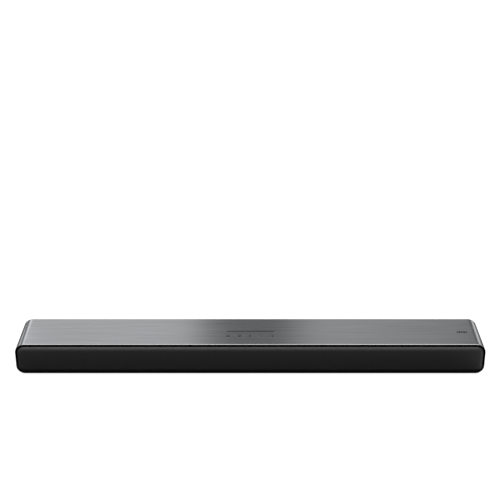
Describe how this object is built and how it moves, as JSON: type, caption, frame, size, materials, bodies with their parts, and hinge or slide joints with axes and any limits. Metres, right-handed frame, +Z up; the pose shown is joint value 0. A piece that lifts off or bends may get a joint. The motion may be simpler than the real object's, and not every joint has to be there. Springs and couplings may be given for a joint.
{
  "type": "soundbar",
  "caption": "Long low soundbar: folded metal top over a moulded tray, rounded ends, cloth grille in a dark reveal, a row of flush top keys, a status light line and a rear connector bay.",
  "frame": {"origin": "on the ground plane under the middle of the bar, at the height of the feet's soles", "axes": "+X along the bar to the listener's right when facing its front, -Y out of the grille towards the listener, +Z up"},
  "size_m": [0.81, 0.095, 0.06],
  "materials": {
    "brushed_metal": "fine brushed, dark grey anodised, streaks along the bar",
    "black_plastic": "fine moulded texture, matte black",
    "grille_cloth": "black acoustic weave stretched over the grille frame",
    "smoked_lens": "smoked polished plastic",
    "rubber": "matte black rubber",
    "zinc_steel": "zinc plated or tinned steel",
    "circuit_board": "green solder mask over glass epoxy",
    "component_black": "black moulded resin",
    "aluminium": "extruded, plain",
    "lead_jacket": "PVC wire jacket",
    "basket_steel": "black painted pressed steel",
    "magnet": "ferrite magnet between plated steel plates",
    "cone_paper": "pressed paper pulp, black",
    "surround_rubber": "thin butyl rubber half roll",
    "foam": "closed cell foam gasket",
    "spider_cotton": "resin treated cotton",
    "dome_silk": "coated silk dome"
  },
  "bodies": {
    "housing": {"bottom_cover": "black_plastic", "connector_bay": "black_plastic", "control_board": "circuit_board", "control_ribbon": "lead_jacket", "foot_front_left": "rubber", "foot_front_right": "rubber", "foot_rear_left": "rubber", "foot_rear_right": "rubber", "front_baffle": "black_plastic", "grille_bezel": "black_plastic", "grille_cloth": "grille_cloth", "grille_frame": "black_plastic", "hdmi_socket": "zinc_steel", "heatsink": "aluminium", "housing_screw_1": "zinc_steel", "housing_screw_2": "zinc_steel", "housing_screw_3": "zinc_steel", "housing_screw_4": "zinc_steel", "housing_screw_5": "zinc_steel", "housing_screw_6": "zinc_steel", "ir_receiver": "smoked_lens", "key_guide": "black_plastic", "main_board": "circuit_board", "mains_inlet": "component_black", "optical_socket": "component_black", "power_board": "circuit_board", "rear_panel": "black_plastic", "speaker_box_left": "black_plastic", "speaker_box_right": "black_plastic", "speaker_lead_left": "lead_jacket", "speaker_lead_right": "lead_jacket", "status_light_lens": "smoked_lens", "top_cover": "brushed_metal", "transformer": "component_black", "tweeter_left_frame": "component_black", "tweeter_right_frame": "component_black", "usb_socket": "zinc_steel", "wall_hanger_left": "zinc_steel", "wall_hanger_right": "zinc_steel", "wireless_module": "zinc_steel", "woofer_left_frame": "basket_steel", "woofer_left_gasket": "foam", "woofer_left_magnet": "magnet", "woofer_left_spider": "spider_cotton", "woofer_left_surround": "surround_rubber", "woofer_right_frame": "basket_steel", "woofer_right_gasket": "foam", "woofer_right_magnet": "magnet", "woofer_right_spider": "spider_cotton", "woofer_right_surround": "surround_rubber"},
    "key_power_body": {"key_power": "brushed_metal"},
    "key_input_body": {"key_input": "brushed_metal"},
    "key_play_body": {"key_play": "brushed_metal"},
    "key_volume_down_body": {"key_volume_down": "brushed_metal"},
    "key_volume_up_body": {"key_volume_up": "brushed_metal"},
    "woofer_left_cone_body": {"woofer_left_cone": "cone_paper"},
    "woofer_right_cone_body": {"woofer_right_cone": "cone_paper"},
    "tweeter_left_dome_body": {"tweeter_left_dome": "dome_silk"},
    "tweeter_right_dome_body": {"tweeter_right_dome": "dome_silk"},
    "optical_shutter_body": {"optical_shutter": "component_black"}
  },
  "joints": [
    {"name": "key_power_press", "type": "slide", "parent": "housing", "child": "key_power_body", "axis": [0, 0, -1], "range_m": [0, 0.0005], "stiffness_N_per_m": 400, "springref_m": -0.003},
    {"name": "key_input_press", "type": "slide", "parent": "housing", "child": "key_input_body", "axis": [0, 0, -1], "range_m": [0, 0.0005], "stiffness_N_per_m": 400, "springref_m": -0.003},
    {"name": "key_play_press", "type": "slide", "parent": "housing", "child": "key_play_body", "axis": [0, 0, -1], "range_m": [0, 0.0005], "stiffness_N_per_m": 400, "springref_m": -0.003},
    {"name": "key_volume_down_press", "type": "slide", "parent": "housing", "child": "key_volume_down_body", "axis": [0, 0, -1], "range_m": [0, 0.0005], "stiffness_N_per_m": 400, "springref_m": -0.003},
    {"name": "key_volume_up_press", "type": "slide", "parent": "housing", "child": "key_volume_up_body", "axis": [0, 0, -1], "range_m": [0, 0.0005], "stiffness_N_per_m": 400, "springref_m": -0.003},
    {"name": "woofer_left_stroke", "type": "slide", "parent": "housing", "child": "woofer_left_cone_body", "axis": [0, -1, 0], "range_m": [-0.003, 0.003], "stiffness_N_per_m": 1200, "deforming": ["woofer_left_surround", "woofer_left_spider"]},
    {"name": "woofer_right_stroke", "type": "slide", "parent": "housing", "child": "woofer_right_cone_body", "axis": [0, -1, 0], "range_m": [-0.003, 0.003], "stiffness_N_per_m": 1200, "deforming": ["woofer_right_surround", "woofer_right_spider"]},
    {"name": "tweeter_left_stroke", "type": "slide", "parent": "housing", "child": "tweeter_left_dome_body", "axis": [0, -1, 0], "range_m": [-0.0003, 0.0003], "stiffness_N_per_m": 2500},
    {"name": "tweeter_right_stroke", "type": "slide", "parent": "housing", "child": "tweeter_right_dome_body", "axis": [0, -1, 0], "range_m": [-0.0003, 0.0003], "stiffness_N_per_m": 2500},
    {"name": "optical_shutter_swing", "type": "hinge", "parent": "housing", "child": "optical_shutter_body", "pos_m": [0.092, 0.029, 0.0202], "axis": [-1, 0, 0], "range_deg": [0, 80], "stiffness_Nm_per_rad": 0.0004, "springref_deg": -34.38}
  ]
}
